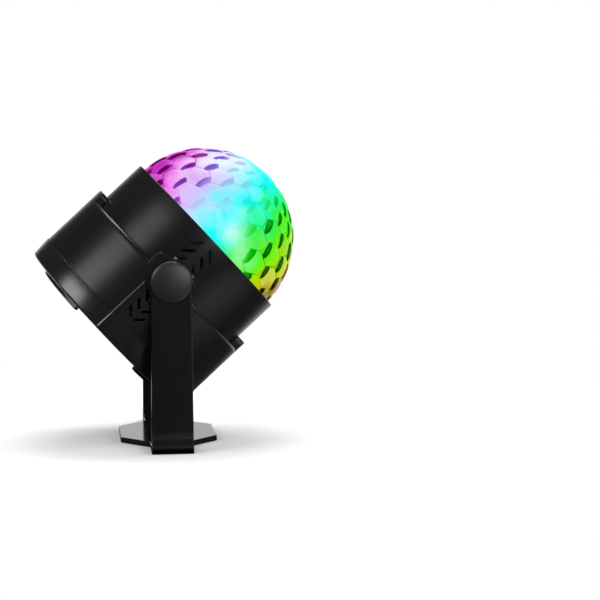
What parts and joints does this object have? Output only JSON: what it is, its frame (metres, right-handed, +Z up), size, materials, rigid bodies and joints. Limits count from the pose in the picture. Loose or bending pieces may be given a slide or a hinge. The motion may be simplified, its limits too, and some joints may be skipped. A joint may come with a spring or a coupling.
{
  "type": "disco ball light",
  "caption": "Small party light: a faceted clear dome that turns on a black two-shell housing, tilting in a U-shaped yoke on a flat base plate.",
  "frame": {"origin": "middle of the base plate's underside, on the plane between the yoke's two arms", "axes": "+Z up; the tilt axis runs along Y at the arms' tops; the dome leans towards +X at rest; -Y is the side seen in the picture"},
  "size_m": [0.1134, 0.1056, 0.1271],
  "materials": {
    "housing_plastic": "satin black moulded ABS",
    "yoke_plastic": "satin black moulded ABS",
    "inlet_plastic": "black moulded plastic",
    "inner_plastic": "white moulded plastic",
    "dome_lens": "clear faceted polycarbonate, lit from inside",
    "lamp_lens": "clear lens of a light-emitting diode",
    "light_board": "white solder mask on an aluminium board",
    "control_board": "green solder mask",
    "aluminium": "bare",
    "zinc_steel": "zinc plated",
    "washer_rubber": "matt black"
  },
  "bodies": {
    "yoke": {"yoke_bracket": "yoke_plastic", "pivot_trunnion_near": "inner_plastic", "pivot_screw_near": "zinc_steel", "friction_washer_near": "washer_rubber", "pivot_cap_near": "housing_plastic", "pivot_trunnion_far": "inner_plastic", "pivot_screw_far": "zinc_steel", "friction_washer_far": "washer_rubber", "pivot_cap_far": "housing_plastic"},
    "head": {"front_housing": "housing_plastic", "rear_housing": "housing_plastic", "rear_cover": "housing_plastic", "power_inlet": "inlet_plastic", "lamp_deck": "inner_plastic", "heat_sink": "aluminium", "light_board": "light_board", "ir_receiver": "inlet_plastic", "gearbox": "inner_plastic", "drive_motor": "zinc_steel", "control_board": "control_board", "microphone": "aluminium", "control_chip": "inlet_plastic", "capacitor": "inlet_plastic", "lamp_red": "lamp_lens", "lamp_green": "lamp_lens", "lamp_blue": "lamp_lens", "cover_screw_1": "zinc_steel", "cover_screw_2": "zinc_steel", "cover_screw_3": "zinc_steel", "cover_screw_4": "zinc_steel", "housing_screw_1": "zinc_steel", "housing_screw_2": "zinc_steel", "housing_screw_3": "zinc_steel", "housing_screw_4": "zinc_steel", "deck_screw_1": "zinc_steel", "deck_screw_2": "zinc_steel", "deck_screw_3": "zinc_steel", "light_screw_1": "zinc_steel", "light_screw_2": "zinc_steel", "gearbox_screw_1": "zinc_steel", "gearbox_screw_2": "zinc_steel", "control_screw_1": "zinc_steel", "control_screw_2": "zinc_steel", "control_screw_3": "zinc_steel"},
    "rotor": {"dome": "dome_lens", "dome_carrier": "inner_plastic", "drive_shaft": "zinc_steel", "carrier_screw": "zinc_steel"}
  },
  "joints": [
    {"name": "head_tilt", "type": "hinge", "parent": "yoke", "child": "head", "pos_m": [0, 0, 0.0718], "axis": [0, 1, 0], "range_deg": [-137.4, 42.6]},
    {"name": "dome_spin", "type": "hinge", "parent": "head", "child": "rotor", "pos_m": [0, 0, 0.0718], "axis": [0.7361, 0, 0.6769], "continuous": true}
  ]
}
